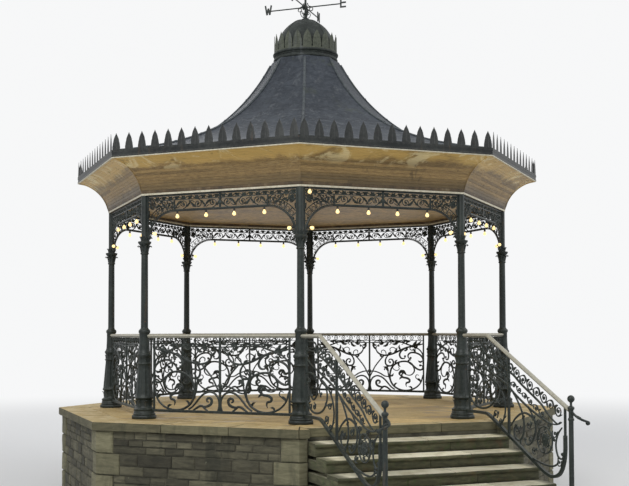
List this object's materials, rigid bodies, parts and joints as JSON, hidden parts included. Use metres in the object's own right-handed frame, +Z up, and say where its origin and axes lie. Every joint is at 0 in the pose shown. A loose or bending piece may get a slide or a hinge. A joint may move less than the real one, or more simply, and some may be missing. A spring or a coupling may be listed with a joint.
{
  "type": "bandstand",
  "caption": "Octagonal cast-iron bandstand on a stone plinth, with steps, scrolled railings, lamp-lit friezes, a coved eaves and a sweeping lead roof.",
  "frame": {"origin": "on the octagon's axis at ground level, in the middle of the plinth's underside", "axes": "+Z up, -Y out over the steps, +X to the right as seen from the foot of the steps"},
  "size_m": [6.7984, 8.8885, 7.6033],
  "materials": {
    "rubble": "rough rubble and mortar",
    "sandstone": "weathered, lichen-stained coursed sandstone",
    "dressed_stone": "tooled sandstone with damp and dirt stains",
    "paving": "worn sandstone flags, damp in patches",
    "step_stone": "sandstone steps, pale worn treads and dark risers",
    "painted_iron": "weathered grey-green gloss paint on cast iron",
    "pale_paint": "cream paint, dirty",
    "varnished_timber": "narrow boards under old varnish",
    "dark_iron": "near-black weathered paint on cast iron",
    "lead_sheet": "dull dark grey lead sheet",
    "black_rubber": "black rubber cable and lampholders",
    "lit_lamp": "lit pearl glass"
  },
  "bodies": {
    "root": {"plinth_fill": "rubble", "plinth_walls": "sandstone", "corner_stones": "dressed_stone", "coping": "dressed_stone", "deck": "paving", "step_1": "step_stone", "step_2": "step_stone", "step_3": "step_stone", "step_4": "step_stone", "step_5": "step_stone", "step_6": "step_stone", "step_7": "step_stone", "column_1": "painted_iron", "column_2": "painted_iron", "column_3": "painted_iron", "column_4": "painted_iron", "column_5": "painted_iron", "column_6": "painted_iron", "column_7": "painted_iron", "column_8": "painted_iron", "railing_1": "painted_iron", "railing_2": "painted_iron", "railing_3": "painted_iron", "railing_4": "painted_iron", "railing_5": "painted_iron", "railing_6": "painted_iron", "railing_7": "painted_iron", "frieze_1": "painted_iron", "frieze_2": "painted_iron", "frieze_3": "painted_iron", "frieze_4": "painted_iron", "frieze_5": "painted_iron", "frieze_6": "painted_iron", "frieze_7": "painted_iron", "frieze_8": "painted_iron", "stair_rail_left": "painted_iron", "stair_rail_right": "painted_iron", "newel_left": "painted_iron", "newel_right": "painted_iron", "frieze_arches": "painted_iron", "ring_beam": "pale_paint", "ceiling": "varnished_timber", "cove": "varnished_timber", "gutter": "dark_iron", "cresting": "dark_iron", "roof": "lead_sheet", "hip_rolls": "lead_sheet", "cupola_ring": "lead_sheet", "cupola_leaves": "lead_sheet", "dome": "lead_sheet", "spindle": "dark_iron", "compass_arms": "dark_iron", "pointer": "dark_iron", "lamp_cable": "black_rubber", "lamp_holders": "black_rubber", "lamps": "lit_lamp"}
  },
  "joints": []
}
